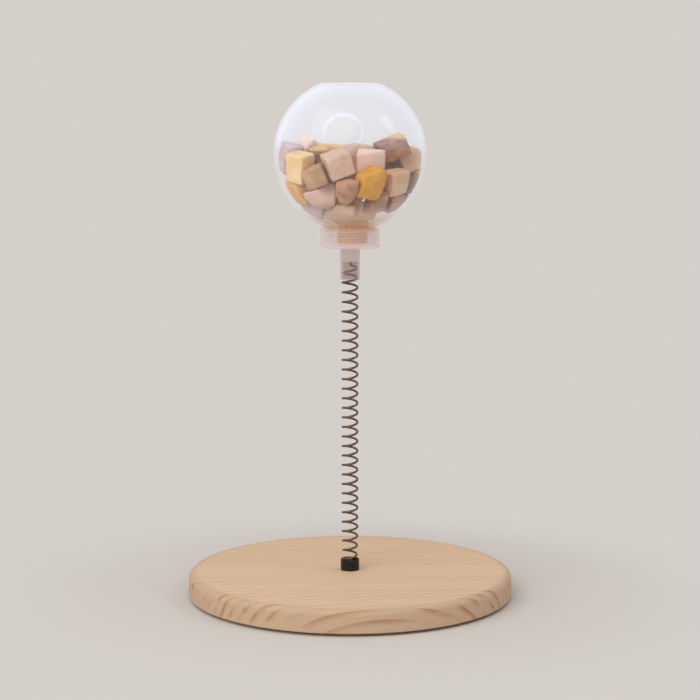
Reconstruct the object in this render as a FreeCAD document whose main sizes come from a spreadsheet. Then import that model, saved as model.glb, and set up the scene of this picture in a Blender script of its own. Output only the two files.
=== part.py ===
"""A cat's treat ball that sways on a long spring above a round wooden base.

Millimetres, +Z up, the front towards -Y. The origin is the centre of the base where the pads meet
the floor. From below: four pads, a turned pine disc with a screw through its middle, the black
ferrule that the screw holds, the coil spring in the ferrule, a screw cap with a socket for the
spring's top, and the clear ball that screws into the cap and holds the freeze-dried treats. The
outlet in the ball's back wall lets a treat fall out when a cat bats the ball.
"""

import FreeCAD, Part
import math
import os

import Sketcher
from FreeCAD import Placement, Rotation, Vector

doc = FreeCAD.newDocument("TreatBall")
sheet = doc.addObject("Spreadsheet::Sheet", "Sizes")

# Driving dimensions in millimetres, degrees and counts
DIMENSIONS = {
    "base_diameter": 172.6,
    "base_thickness": 12,
    "base_top_round": 3.2,
    "base_bottom_chamfer": 0.8,
    "pad_diameter": 16,
    "pad_thickness": 1.5,
    "pad_rim_gap": 8.3,
    "pad_count": 4,
    "screw_diameter": 3,
    "screw_head_diameter": 6,
    "screw_sink": 0.4,
    "screw_hole_clearance": 0.25,
    "screw_thread_clearance": 0.05,
    "screw_tip_gap": 0.6,
    "ferrule_height": 6,
    "ferrule_floor": 1.5,
    "ferrule_wall": 0.7,
    "ferrule_rim_chamfer": 0.3,
    "spigot_diameter": 6.4,
    "spigot_length": 6,
    "spigot_clearance": 0.1,
    "wire_diameter": 1.1,
    "wire_sides": 6,
    "spring_diameter": 9,
    "spring_end_diameter": 8.2,
    "spring_end_turns": 4,
    "spring_turns": 31,
    "spring_length": 164.1,
    "spring_bend_radius": 1.4,
    "spring_start_angle": 70,
    "spring_clearance": 0.2,
    "stem_wall": 0.6,
    "stem_length": 16.8,
    "stem_mouth_chamfer": 0.2,
    "socket_depth": 9.6,
    "cap_wall": 1.5,
    "cap_floor": 1.8,
    "cap_rim_chamfer": 0.5,
    "neck_diameter": 26.4,
    "neck_length": 9.2,
    "neck_wall": 1.5,
    "neck_gap": 0.5,
    "thread_depth": 1,
    "ball_diameter": 80,
    "ball_wall": 1.5,
    "ball_flat_diameter": 31.4,
    "ball_flat_round": 1.2,
    "outlet_diameter": 19.8,
    "outlet_rim_width": 1.3,
    "outlet_rim_height": 0.7,
    "outlet_elevation": 17,
    "outlet_turn": 6,
    "treat_edge": 13.5,
    "treat_gap": 0.3,
    "treat_clearance": 0.3,
}

for row, (alias, number) in enumerate(DIMENSIONS.items(), start=1):
    sheet.set(f"A{row}", alias)
    sheet.set(f"B{row}", str(number))
    sheet.setAlias(f"B{row}", alias)
doc.recompute()


def size(expression):
    """The number that an expression on the sheet's cells gives."""
    return float(sheet.evalExpression(expression))


# Sizes and heights that neighbouring pieces share, as expressions on the sheet
BASE_TOP = "(Sizes.pad_thickness + Sizes.base_thickness)"
SCREW_RADIUS = "(Sizes.screw_diameter / 2)"
SCREW_HEAD_RADIUS = "(Sizes.screw_head_diameter / 2)"
SCREW_HEAD_HEIGHT = f"({SCREW_HEAD_RADIUS} - {SCREW_RADIUS})"
SCREW_LENGTH = "(Sizes.base_thickness - Sizes.screw_sink - Sizes.screw_tip_gap)"
FERRULE_BORE = "(Sizes.spring_end_diameter / 2 + Sizes.spring_clearance)"
SOCKET_BORE = "(Sizes.spring_diameter / 2 + Sizes.spring_clearance)"
CUP_FLOOR = f"({BASE_TOP} + Sizes.ferrule_floor)"
CAP_BOTTOM = f"({CUP_FLOOR} + Sizes.spring_length - Sizes.socket_depth + Sizes.stem_length)"
NECK_RADIUS = "(Sizes.neck_diameter / 2)"
CAP_BORE = f"({NECK_RADIUS} + Sizes.thread_depth)"
CAP_HEIGHT = "(Sizes.cap_floor + Sizes.neck_length - Sizes.neck_gap)"
BALL_RADIUS = "(Sizes.ball_diameter / 2)"
BALL_INSIDE = f"({BALL_RADIUS} - Sizes.ball_wall)"
NECK_INSIDE = f"({NECK_RADIUS} - Sizes.neck_wall)"
NECK_ROOT = f"sqrt({BALL_RADIUS}^2 - {NECK_RADIUS}^2)"
NECK_ROOT_INSIDE = f"sqrt({BALL_INSIDE}^2 - {NECK_INSIDE}^2)"
NECK_END = f"({NECK_ROOT} + Sizes.neck_length)"
FLAT_RADIUS = "(Sizes.ball_flat_diameter / 2)"
FLAT_HEIGHT = f"sqrt({BALL_RADIUS}^2 - {FLAT_RADIUS}^2)"
FLAT_INSIDE = f"({FLAT_HEIGHT} - Sizes.ball_wall)"
BALL_CENTRE = f"({CAP_BOTTOM} + Sizes.cap_floor + {NECK_END})"
OUTLET_RADIUS = "(Sizes.outlet_diameter / 2)"
OUTLET_RIM_RADIUS = f"({OUTLET_RADIUS} + Sizes.outlet_rim_width)"
OUTLET_FACE = f"(sqrt({BALL_RADIUS}^2 - {OUTLET_RIM_RADIUS}^2) + Sizes.outlet_rim_height)"
OUTLET_ROOT = f"sqrt({BALL_INSIDE}^2 - {OUTLET_RIM_RADIUS}^2)"


def new_body(name, height):
    """An empty body whose origin stands on the object's axis at a height."""
    body = doc.addObject("PartDesign::Body", name)
    body.Label = name
    body.setExpression(".Placement.Base.z", height)
    return body


def new_sketch(body, name, role):
    """A sketch on the origin plane of the body that has this role."""
    sketch = body.newObject("Sketcher::SketchObject", name)
    plane = next(item for item in body.Origin.OriginFeatures if item.Role == role)
    sketch.AttachmentSupport = [(plane, "")]
    sketch.MapMode = "FlatFace"
    return sketch


def add_bound(sketch, constraint, expression):
    """Adds a constraint that holds a length and ties the length to an expression."""
    number = sketch.addConstraint(constraint)
    sketch.setExpression(f"Constraints[{number}]", expression)


def add_circle(sketch, radius):
    """A circle about the sketch's origin, its radius an expression."""
    circle = sketch.addGeometry(Part.Circle(Vector(), Vector(0, 0, 1), size(radius)), False)
    sketch.addConstraint(Sketcher.Constraint("Coincident", circle, 3, -1, 1))
    add_bound(sketch, Sketcher.Constraint("Radius", circle, size(radius)), radius)


def hold_point(sketch, kind, edge, point, expression):
    """Fixes a coordinate of an edge's end to an expression, or to the axis where that is 0."""
    distance = size(expression)
    if distance == 0:
        axis = -2 if kind == "DistanceX" else -1
        sketch.addConstraint(Sketcher.Constraint("PointOnObject", edge, point, axis))
    elif distance > 0:
        constraint = Sketcher.Constraint(kind, -1, 1, edge, point, distance)
        add_bound(sketch, constraint, expression)
    else:
        constraint = Sketcher.Constraint(kind, edge, point, -1, 1, -distance)
        add_bound(sketch, constraint, f"-({expression})")


def add_outline(sketch, corners):
    """A closed outline of straight edges and of arcs about the sketch's origin.

    A corner is (x, z, held) or (x, z, held, radius). x and z are expressions, held names those that
    are fixed, and a radius makes the edge from this corner to the next an arc about the origin.
    """
    count = len(corners)
    points = [Vector(size(corner[0]), size(corner[1]), 0) for corner in corners]
    edges = []
    ends = []
    for number, corner in enumerate(corners):
        start = points[number]
        end = points[(number + 1) % count]
        curve = Part.LineSegment(start, end)
        clockwise = False
        if len(corner) == 4:
            middle = (start + end).normalize() * size(corner[3])
            curve = Part.Arc(start, middle, end)
            clockwise = start.cross(end).z < 0
        edges.append(sketch.addGeometry(curve, False))
        ends.append((2, 1) if clockwise else (1, 2))
    for number, edge in enumerate(edges):
        following = (number + 1) % count
        joint = (edge, ends[number][1], edges[following], ends[following][0])
        sketch.addConstraint(Sketcher.Constraint("Coincident", *joint))
    for number, corner in enumerate(corners):
        edge = edges[number]
        if "x" in corner[2]:
            hold_point(sketch, "DistanceX", edge, ends[number][0], corner[0])
        if "z" in corner[2]:
            hold_point(sketch, "DistanceY", edge, ends[number][0], corner[1])
        if len(corner) == 4:
            sketch.addConstraint(Sketcher.Constraint("Coincident", edge, 3, -1, 1))
            radius = Sketcher.Constraint("Radius", edge, size(corner[3]))
            add_bound(sketch, radius, corner[3])


def add_turned(body, name, corners, kind="PartDesign::Revolution"):
    """Turns a half profile on the XZ plane about the body's axis, as metal or as a groove."""
    sketch = new_sketch(body, name + "Profile", "XZ_Plane")
    add_outline(sketch, corners)
    turned = body.newObject(kind, name)
    turned.Profile = sketch
    turned.ReferenceAxis = (sketch, ["V_Axis"])
    turned.Angle = 360
    doc.recompute()
    return turned


def circles_at(feature, radius, height):
    """The names of a feature's circular edges with this radius at this height, both expressions."""
    names = []
    for number, edge in enumerate(feature.Shape.Edges, start=1):
        curve = edge.Curve
        if not isinstance(curve, Part.Circle):
            continue
        if abs(curve.Radius - size(radius)) < 1e-4 and abs(curve.Center.z - size(height)) < 1e-4:
            names.append(f"Edge{number}")
    return names


def add_edge_finish(body, name, kind, feature, circles, amount):
    """A fillet or chamfer on circular edges, given as pairs of radius and height."""
    names = [found for circle in circles for found in circles_at(feature, *circle)]
    finish = body.newObject(f"PartDesign::{kind}", name)
    finish.Base = (feature, names)
    finish.setExpression("Radius" if kind == "Fillet" else "Size", amount)
    doc.recompute()
    return finish


# Wooden base: a disc with a soft upper edge, a recess for the ferrule and a sunk screw hole
def make_wooden_base():
    body = new_body("wooden_base", "Sizes.pad_thickness")
    outline = new_sketch(body, "BaseOutline", "XY_Plane")
    add_circle(outline, "Sizes.base_diameter / 2")
    disc = body.newObject("PartDesign::Pad", "BaseDisc")
    disc.Profile = outline
    disc.setExpression("Length", "Sizes.base_thickness")
    doc.recompute()
    top = [("Sizes.base_diameter / 2", "Sizes.base_thickness")]
    bottom = [("Sizes.base_diameter / 2", "0")]
    rounded = add_edge_finish(body, "BaseTopRound", "Fillet", disc, top, "Sizes.base_top_round")
    chamfer = "Sizes.base_bottom_chamfer"
    add_edge_finish(body, "BaseBottomChamfer", "Chamfer", rounded, bottom, chamfer)
    hole_radius = f"{SCREW_RADIUS} + Sizes.screw_hole_clearance"
    cone_top = f"Sizes.screw_sink + {SCREW_HEAD_HEIGHT} - Sizes.screw_hole_clearance"
    recess_radius = "Sizes.spigot_diameter / 2 + Sizes.spigot_clearance"
    recess_floor = "Sizes.base_thickness - Sizes.spigot_length - Sizes.spigot_clearance"
    add_turned(
        body,
        "CentreHole",
        [
            ("0", "0", "xz"),
            (SCREW_HEAD_RADIUS, "0", "xz"),
            (SCREW_HEAD_RADIUS, "Sizes.screw_sink", "xz"),
            (hole_radius, cone_top, "xz"),
            (hole_radius, recess_floor, "xz"),
            (recess_radius, recess_floor, "xz"),
            (recess_radius, "Sizes.base_thickness", "xz"),
            ("0", "Sizes.base_thickness", "xz"),
        ],
        "PartDesign::Groove",
    )
    return body


# Anti-slip pads: thin discs on a circle just inside the rim, under the base
def make_anti_slip_pads():
    count = int(size("Sizes.pad_count"))
    reach = "(Sizes.base_diameter / 2 - Sizes.pad_rim_gap - Sizes.pad_diameter / 2)"
    pads = []
    for number in range(count):
        turn = f"({number} + 1 / 2) * 360 / Sizes.pad_count"
        pad = doc.addObject("Part::Cylinder", f"Pad{number + 1}")
        pad.setExpression("Radius", "Sizes.pad_diameter / 2")
        pad.setExpression("Height", "Sizes.pad_thickness")
        pad.setExpression(".Placement.Base.x", f"{reach} * cos({turn})")
        pad.setExpression(".Placement.Base.y", f"{reach} * sin({turn})")
        pads.append(pad)
    group = doc.addObject("Part::Compound", "anti_slip_pads")
    group.Label = "anti_slip_pads"
    group.Links = pads
    return group


# Base screw: countersunk from below, its point inside the ferrule's spigot
def make_base_screw():
    body = new_body("base_screw", "Sizes.pad_thickness + Sizes.screw_sink")
    tip = f"{SCREW_RADIUS} / 2"
    add_turned(
        body,
        "ScrewBlank",
        [
            ("0", "0", "xz"),
            (SCREW_HEAD_RADIUS, "0", "xz"),
            (SCREW_RADIUS, SCREW_HEAD_HEIGHT, "xz"),
            (SCREW_RADIUS, f"{SCREW_LENGTH} - {tip}", "xz"),
            (tip, SCREW_LENGTH, "xz"),
            ("0", SCREW_LENGTH, "xz"),
        ],
    )
    return body


# Spring ferrule: a black cup on the base, with a spigot that the screw pulls into the wood
def make_spring_ferrule():
    body = new_body("spring_ferrule", BASE_TOP)
    pilot_radius = f"{SCREW_RADIUS} + Sizes.screw_thread_clearance"
    outer_radius = f"({FERRULE_BORE} + Sizes.ferrule_wall)"
    cup = add_turned(
        body,
        "FerruleCup",
        [
            ("0", "0", "xz"),
            (pilot_radius, "0", "xz"),
            (pilot_radius, "-Sizes.spigot_length", "xz"),
            ("Sizes.spigot_diameter / 2", "-Sizes.spigot_length", "xz"),
            ("Sizes.spigot_diameter / 2", "0", "xz"),
            (outer_radius, "0", "xz"),
            (outer_radius, "Sizes.ferrule_height", "xz"),
            (FERRULE_BORE, "Sizes.ferrule_height", "xz"),
            (FERRULE_BORE, "Sizes.ferrule_floor", "xz"),
            ("0", "Sizes.ferrule_floor", "xz"),
        ],
    )
    rim = [(outer_radius, "Sizes.ferrule_height"), (FERRULE_BORE, "Sizes.ferrule_height")]
    add_edge_finish(body, "FerruleRim", "Chamfer", cup, rim, "Sizes.ferrule_rim_chamfer")
    return body


# Screw cap: a shallow cup for the ball's neck, with a stem below it that takes the spring's top
def make_screw_cap():
    body = new_body("screw_cap", CAP_BOTTOM)
    stem_radius = f"({SOCKET_BORE} + Sizes.stem_wall)"
    cap_radius = f"({CAP_BORE} + Sizes.cap_wall)"
    socket_roof = "Sizes.socket_depth - Sizes.stem_length"
    cap = add_turned(
        body,
        "CapBlank",
        [
            ("0", socket_roof, "xz"),
            (SOCKET_BORE, socket_roof, "xz"),
            (SOCKET_BORE, "-Sizes.stem_length", "xz"),
            (stem_radius, "-Sizes.stem_length", "xz"),
            (stem_radius, "0", "xz"),
            (cap_radius, "0", "xz"),
            (cap_radius, CAP_HEIGHT, "xz"),
            (CAP_BORE, CAP_HEIGHT, "xz"),
            (CAP_BORE, "Sizes.cap_floor", "xz"),
            ("0", "Sizes.cap_floor", "xz"),
        ],
    )
    rims = [(cap_radius, "0"), (cap_radius, CAP_HEIGHT)]
    eased = add_edge_finish(body, "CapRims", "Chamfer", cap, rims, "Sizes.cap_rim_chamfer")
    mouth = [(stem_radius, "-Sizes.stem_length"), (SOCKET_BORE, "-Sizes.stem_length")]
    add_edge_finish(body, "StemMouth", "Chamfer", eased, mouth, "Sizes.stem_mouth_chamfer")
    return body


def outlet_sketch(body, name, distance):
    """A sketch square to the outlet's own line, at a distance from the ball's centre."""
    sketch = new_sketch(body, name, "XY_Plane")
    turn = Rotation(size("Sizes.outlet_turn"), 0, size("Sizes.outlet_elevation") - 90)
    sketch.AttachmentOffset = Placement(Vector(), turn)
    level = f"{distance} * cos(Sizes.outlet_elevation)"
    offset = ".AttachmentOffset.Base"
    sketch.setExpression(f"{offset}.x", f"-{level} * sin(Sizes.outlet_turn)")
    sketch.setExpression(f"{offset}.y", f"{level} * cos(Sizes.outlet_turn)")
    sketch.setExpression(f"{offset}.z", f"{distance} * sin(Sizes.outlet_elevation)")
    doc.recompute()
    return sketch


# Treat ball: a thin sphere with a flat crown, a threaded neck below and an outlet in its back
def make_treat_ball():
    body = new_body("treat_ball", BALL_CENTRE)
    flat_inside_radius = f"sqrt({BALL_INSIDE}^2 - {FLAT_INSIDE}^2)"
    shell = add_turned(
        body,
        "BallShell",
        [
            (NECK_RADIUS, f"-{NECK_END}", "xz"),
            (NECK_RADIUS, f"-{NECK_ROOT}", "x", BALL_RADIUS),
            (FLAT_RADIUS, FLAT_HEIGHT, "x"),
            ("0", FLAT_HEIGHT, "x"),
            ("0", FLAT_INSIDE, "xz"),
            (flat_inside_radius, FLAT_INSIDE, "z", BALL_INSIDE),
            (NECK_INSIDE, f"-{NECK_ROOT_INSIDE}", "x"),
            (NECK_INSIDE, f"-{NECK_END}", "xz"),
        ],
    )
    crown = [(FLAT_RADIUS, FLAT_HEIGHT)]
    add_edge_finish(body, "CrownRound", "Fillet", shell, crown, "Sizes.ball_flat_round")
    rim_sketch = outlet_sketch(body, "OutletRimSketch", OUTLET_FACE)
    add_circle(rim_sketch, OUTLET_RIM_RADIUS)
    rim = body.newObject("PartDesign::Pad", "OutletRim")
    rim.Profile = rim_sketch
    rim.Reversed = True
    rim.setExpression("Length", f"{OUTLET_FACE} - {OUTLET_ROOT}")
    doc.recompute()
    bore_sketch = outlet_sketch(body, "OutletBoreSketch", BALL_RADIUS)
    add_circle(bore_sketch, OUTLET_RADIUS)
    bore = body.newObject("PartDesign::Pocket", "OutletBore")
    bore.Profile = bore_sketch
    bore.setExpression("Length", f"{BALL_RADIUS} - {OUTLET_ROOT} + Sizes.ball_wall")
    doc.recompute()
    return body


def biarc(start, run_in, end, run_out):
    """Two arcs that leave one point along its direction and reach the other along its own."""
    chord = end - start
    both = run_in + run_out
    square = both.dot(both) - 4
    slant = chord.dot(both)
    reach = (slant - math.sqrt(slant * slant - square * chord.dot(chord))) / square
    corners = (start + run_in * reach, end - run_out * reach)
    joint = (corners[0] + corners[1]) / 2
    return [round_corner(start, corners[0], joint), round_corner(joint, corners[1], end)]


def round_corner(start, corner, end):
    """The arc that touches the two equal runs from a corner at their far ends."""
    middle = (start + end) / 2
    half_angle = (corner - start).getAngle(end - start)
    sagitta = (end - start).Length / 2 * math.tan(half_angle / 2)
    return Part.Arc(start, middle + (corner - middle).normalize() * sagitta, end)


def bend_between(start, run_in, end):
    """The arc that leaves one point along its direction and ends at the other."""
    chord = end - start
    reach = chord.Length / 2 / math.cos(run_in.getAngle(chord))
    return round_corner(start, start + run_in * reach, end)


def smooth(share):
    """A share from 0 to 1 that leaves and arrives level."""
    share = max(0, min(1, share))
    return share * share * (3 - 2 * share)


def least_gap(curves, wire, half_turn):
    """The least clear space between two stretches of wire more than half a turn apart."""
    samples = []
    travelled = 0
    for curve in curves:
        length = curve.length()
        for step in range(6):
            place = length * step / 6
            point = curve.value(curve.parameterAtDistance(place))
            samples.append((travelled + place, point))
        travelled += length
    gap = math.inf
    for number, (place, point) in enumerate(samples):
        for other_place, other_point in samples[number + 1 :]:
            if other_place - place > 6 * half_turn:
                break
            if other_place - place > half_turn:
                gap = min(gap, (other_point - point).Length - wire)
    return gap


# Coil spring: one length of wire, its ends turned down and up to stand in the ferrule and socket
def make_coil_spring():
    wire = size("Sizes.wire_diameter")
    length = size("Sizes.spring_length")
    turns = size("Sizes.spring_turns")
    bend = size("Sizes.spring_bend_radius")
    end_turns = size("Sizes.spring_end_turns")
    first_angle = math.radians(size("Sizes.spring_start_angle"))
    body_radius = (size("Sizes.spring_diameter") - wire) / 2
    end_radius = (size("Sizes.spring_end_diameter") - wire) / 2
    first_height = wire + bend
    pitch = (length - 2 * first_height) / turns

    def coil_point(turn):
        """The middle of the wire after so many turns."""
        radius = end_radius + (body_radius - end_radius) * smooth(turn / end_turns)
        tuck = radius - math.sqrt(radius * radius - bend * bend)
        radius -= tuck * (1 - smooth(2 * min(turn, turns - turn)))
        angle = first_angle + math.tau * turn
        height = first_height + pitch * turn
        return Vector(radius * math.cos(angle), radius * math.sin(angle), height)

    def coil_run(turn):
        """The direction of the wire after so many turns."""
        step = 1e-4
        return (coil_point(turn + step) - coil_point(turn - step)).normalize()

    def stub_end(turn, side):
        """Where the straight stub meets the bend at an end: side is -1 below and 1 above."""
        run = coil_run(turn)
        flat = Vector(run.x, run.y, 0)
        level = Vector(run.x, run.y, 0).normalize()
        shift = level * (1 - run.z) + Vector(0, 0, flat.Length)
        return coil_point(turn) + shift * bend * side

    foot = stub_end(0, -1)
    head = stub_end(turns, 1)
    half_turns = int(round(turns * 2))
    stations = [turns * number / half_turns for number in range(half_turns + 1)]
    curves = [Part.LineSegment(Vector(foot.x, foot.y, 0), foot)]
    curves.append(bend_between(foot, Vector(0, 0, 1), coil_point(0)))
    for turn, following in zip(stations, stations[1:]):
        ends = (coil_point(turn), coil_run(turn), coil_point(following), coil_run(following))
        curves.extend(biarc(*ends))
    curves.append(bend_between(coil_point(turns), coil_run(turns), head))
    curves.append(Part.LineSegment(head, Vector(head.x, head.y, length)))

    path = Part.Wire([curve.toShape() for curve in curves])
    sides = int(size("Sizes.wire_sides"))
    spoke = Vector(wire / 2, 0, 0)
    turned = [Rotation(Vector(0, 0, 1), 360 * side / sides).multVec(spoke) for side in range(sides)]
    section = [Vector(foot.x, foot.y, 0) + corner for corner in turned]
    pipe = Part.BRepOffsetAPI.MakePipeShell(path)
    pipe.add(Part.makePolygon(section + section[:1]))
    pipe.build()
    pipe.makeSolid()
    spring = doc.addObject("Part::Feature", "coil_spring")
    spring.Label = "coil_spring"
    spring.Shape = pipe.shape()
    spring.Placement = Placement(Vector(0, 0, size(CUP_FLOOR)), Rotation())
    section_area = sides / 2 * math.sin(math.tau / sides) * (wire / 2) ** 2
    tube_volume = section_area * path.Length
    print("spring pitch", round(pitch, 3), "wire length", round(path.Length, 1))
    print("spring gap", round(least_gap(curves, wire, math.pi * body_radius), 3))
    print("spring volume over section times length", round(spring.Shape.Volume / tube_volume, 5))
    return spring


# Treats: freeze-dried chunks that fill the lower half of the ball. Each row is a kind, the place of
# its middle from the ball's centre in hundredths of the ball's inner radius (right, back and up),
# its size in hundredths of the treat's edge, and its turns in degrees about Z, Y and X. The rows run
# from the chunks that lie whole against the front wall to those that they press out of shape.
TREATS = [
    ("chicken", (-16, -70, -12), (98, 96, 90), (14, -20, 14)),
    ("yolk", (26, -74, -37), (84, 88, 124), (42, 6, 12)),
    ("yolk", (-67, -42, -17), (84, 88, 112), (-34, 10, 10)),
    ("duck", (-46, -66, -29), (92, 88, 80), (-14, -22, 12)),
    ("chicken", (28, -54, -10), (108, 92, 84), (-4, 3, 14)),
    ("beef", (57, -28, 8), (112, 96, 84), (14, -24, 8)),
    ("duck", (62, -48, -37), (92, 92, 96), (34, -8, 8)),
    ("beef", (-2, -74, -45), (88, 88, 104), (-10, 6, -26)),
    ("duck", (12, -26, -4), (100, 94, 96), (34, 12, -6)),
    ("salmon", (-80, -14, -6), (84, 94, 116), (20, 12, 14)),
    ("chicken", (-40, -58, -52), (116, 88, 80), (20, 14, -16)),
    ("duck", (80, 0, -6), (92, 96, 92), (12, -28, 6)),
    ("beef", (34, -52, -64), (96, 92, 88), (-30, 16, 24)),
    ("chicken", (-16, -44, -76), (128, 88, 88), (6, 2, 20)),
    ("beef", (-41, -28, -7), (92, 92, 80), (40, -14, 20)),
    ("yolk", (-27, 28, 0), (120, 92, 76), (10, 4, 6)),
    ("salmon", (-58, 14, 5), (84, 84, 100), (44, 30, 20)),
    ("beef", (86, -14, -34), (66, 92, 112), (8, 16, 10)),
    ("yolk", (-72, -32, -50), (84, 92, 104), (30, 30, 0)),
    ("yolk", (4, 4, -106), (96, 88, 104), (20, 4, 6)),
    ("chicken", (6, 34, -6), (92, 96, 96), (-20, 14, 8)),
    ("beef", (40, 14, -6), (96, 92, 92), (30, -12, 16)),
    ("duck", (70, 40, -14), (92, 96, 96), (-20, 14, 24)),
    ("chicken", (-64, 48, -20), (92, 96, 96), (36, 10, -14)),
    ("beef", (-26, 70, -14), (100, 88, 96), (16, 12, 10)),
    ("duck", (14, 72, -12), (96, 92, 96), (-14, 18, 12)),
    ("yolk", (44, 62, -34), (96, 88, 96), (-36, 10, 14)),
    ("salmon", (-52, 4, -34), (96, 96, 96), (28, -16, 12)),
    ("duck", (-12, -8, -30), (100, 100, 92), (10, 20, 16)),
    ("chicken", (28, -8, -40), (96, 96, 96), (-32, 12, -16)),
    ("beef", (-40, 40, -50), (96, 96, 96), (12, 26, 10)),
    ("chicken", (4, 40, -44), (96, 96, 96), (-24, 10, 18)),
    ("yolk", (14, 4, -78), (92, 92, 88), (36, 14, 10)),
    ("salmon", (-46, -10, -68), (96, 92, 88), (-16, 18, 14)),
    ("beef", (50, 24, -62), (88, 92, 88), (20, 22, 12)),
    ("duck", (62, 2, -40), (88, 88, 92), (34, 12, 10)),
    ("chicken", (-10, 34, -80), (88, 88, 80), (24, 12, 16)),
    ("beef", (64, -18, -62), (84, 88, 88), (24, 16, 8)),
]


def block_beyond(normal, distance):
    """A block that fills the space beyond a plane, given by its normal and distance."""
    reach = 2 * size("Sizes.ball_diameter")
    block = Part.makeBox(reach, reach, reach, Vector(-reach / 2, -reach / 2, 0))
    block.Placement = Placement(normal * distance, Rotation(Vector(0, 0, 1), normal))
    return block


def box_faces(middle, sides, turn):
    """The outward normal and the distance from the origin of each face of a turned box."""
    faces = []
    for axis, side in zip((Vector(1, 0, 0), Vector(0, 1, 0), Vector(0, 0, 1)), sides):
        for normal in (turn.multVec(axis), turn.multVec(-axis)):
            faces.append((normal, normal.dot(middle) + side / 2))
    return faces


def clear_of_wall(chunk, radius, neck_radius):
    """Cuts off each corner that lies outside a sphere and outside the neck, square to its line."""
    facet = radius / 12
    while True:
        outside = [
            corner.Point
            for corner in chunk.Vertexes
            if corner.Point.Length > radius + 0.01
            and (corner.Z > 0 or math.hypot(corner.X, corner.Y) > neck_radius)
        ]
        if not outside:
            return chunk
        worst = max(outside, key=lambda point: point.Length)
        distance = math.sqrt(radius * radius - facet * facet)
        chunk = chunk.cut(block_beyond(worst.normalize(), distance))


def make_treats():
    edge = size("Sizes.treat_edge")
    gap = size("Sizes.treat_gap")
    clearance = size("Sizes.treat_clearance")
    inside = size(BALL_INSIDE)
    radius = inside - clearance
    neck_radius = size(NECK_INSIDE) - clearance
    neck_floor = size(NECK_END) - clearance
    placement = Placement(Vector(0, 0, size(BALL_CENTRE)), Rotation())
    neighbours = []
    counts = {}
    treats = []
    for kind, place, proportions, turns in TREATS:
        middle = Vector(*place) * inside / 100
        sides = [edge * proportion / 100 for proportion in proportions]
        turn = Rotation(*turns)
        chunk = Part.makeBox(*sides, Vector(*sides) / -2)
        chunk.Placement = Placement(middle, turn)
        chunk = chunk.cut(block_beyond(Vector(0, 0, -1), neck_floor))
        for other_middle, faces in neighbours:
            if (other_middle - middle).Length < 2 * edge:
                normal, distance = max(faces, key=lambda face: face[0].dot(middle) - face[1])
                chunk = chunk.cut(block_beyond(-normal, -distance - gap))
        chunk = clear_of_wall(chunk, radius, neck_radius)
        neighbours.append((middle, box_faces(middle, sides, turn)))
        counts[kind] = counts.get(kind, 0) + 1
        name = f"treat_{kind}_{counts[kind]}"
        treat = doc.addObject("Part::Feature", name)
        treat.Label = name
        treat.Shape = chunk
        treat.Placement = placement
        treats.append(treat)
    return treats


SUBPARTS = [
    make_wooden_base(),
    make_anti_slip_pads(),
    make_base_screw(),
    make_spring_ferrule(),
    make_coil_spring(),
    make_screw_cap(),
    make_treat_ball(),
    *make_treats(),
]
doc.recompute()

failed = [item.Name for item in doc.Objects if {"Invalid", "Error"} & set(item.State)]
if failed:
    raise RuntimeError(f"these objects failed: {failed}")
for subpart in SUBPARTS:
    if subpart.Shape.isNull() or not subpart.Shape.isValid():
        raise RuntimeError(f"{subpart.Label} has no valid shape")

os.makedirs("parts", exist_ok=True)
for subpart in SUBPARTS:
    subpart.Shape.exportStep(f"parts/{subpart.Label}.step")
    print(subpart.Label, len(subpart.Shape.Solids), "solids", round(subpart.Shape.Volume, 1), "mm3")
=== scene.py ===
# %% [markdown]
# A cat's treat ball stands on a long coil spring above a round pine base. The construction comes
# in as a fixed frame: every piece there has its real size and place, in metres, with the front
# towards -Y. This lesson dresses it. Each piece that shows is worked out again as a smooth surface
# in the same place, and gets a finish made of nodes, so that it holds up close.

import math

import bmesh
import bpy
import numpy as np
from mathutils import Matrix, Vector


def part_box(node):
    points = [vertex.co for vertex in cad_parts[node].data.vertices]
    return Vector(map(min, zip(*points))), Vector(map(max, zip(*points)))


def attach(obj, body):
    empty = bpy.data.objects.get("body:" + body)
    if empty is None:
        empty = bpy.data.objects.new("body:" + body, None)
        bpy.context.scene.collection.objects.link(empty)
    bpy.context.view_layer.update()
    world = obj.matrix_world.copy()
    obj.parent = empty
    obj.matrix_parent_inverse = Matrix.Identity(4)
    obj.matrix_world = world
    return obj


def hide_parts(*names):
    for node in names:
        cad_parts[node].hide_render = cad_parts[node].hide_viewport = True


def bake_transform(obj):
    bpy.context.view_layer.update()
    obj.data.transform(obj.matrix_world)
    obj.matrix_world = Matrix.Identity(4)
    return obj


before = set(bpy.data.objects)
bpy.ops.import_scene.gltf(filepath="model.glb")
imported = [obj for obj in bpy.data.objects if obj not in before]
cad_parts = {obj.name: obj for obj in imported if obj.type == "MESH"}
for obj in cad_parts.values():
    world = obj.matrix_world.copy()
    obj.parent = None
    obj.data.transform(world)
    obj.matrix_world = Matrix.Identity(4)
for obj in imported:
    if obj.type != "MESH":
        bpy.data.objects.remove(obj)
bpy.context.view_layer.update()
MM = 0.001

# %% [markdown]
# The camera stands where the photographer stood: almost a metre in front, at about the height of
# the ball's middle, and tipped a little down. A long lens keeps the base's ellipse flat. The place
# came from fitting the ellipses of the base's rim and of the cap's edge to the picture.

# %% Camera
CAMERA_DISTANCE = 0.950
CAMERA_HEIGHT = 0.2412
CAMERA_TIP = math.radians(6.55)
PICTURE_SIDE = 700
FOCAL_PIXELS = 1805
SENSOR_WIDTH = 36

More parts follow.
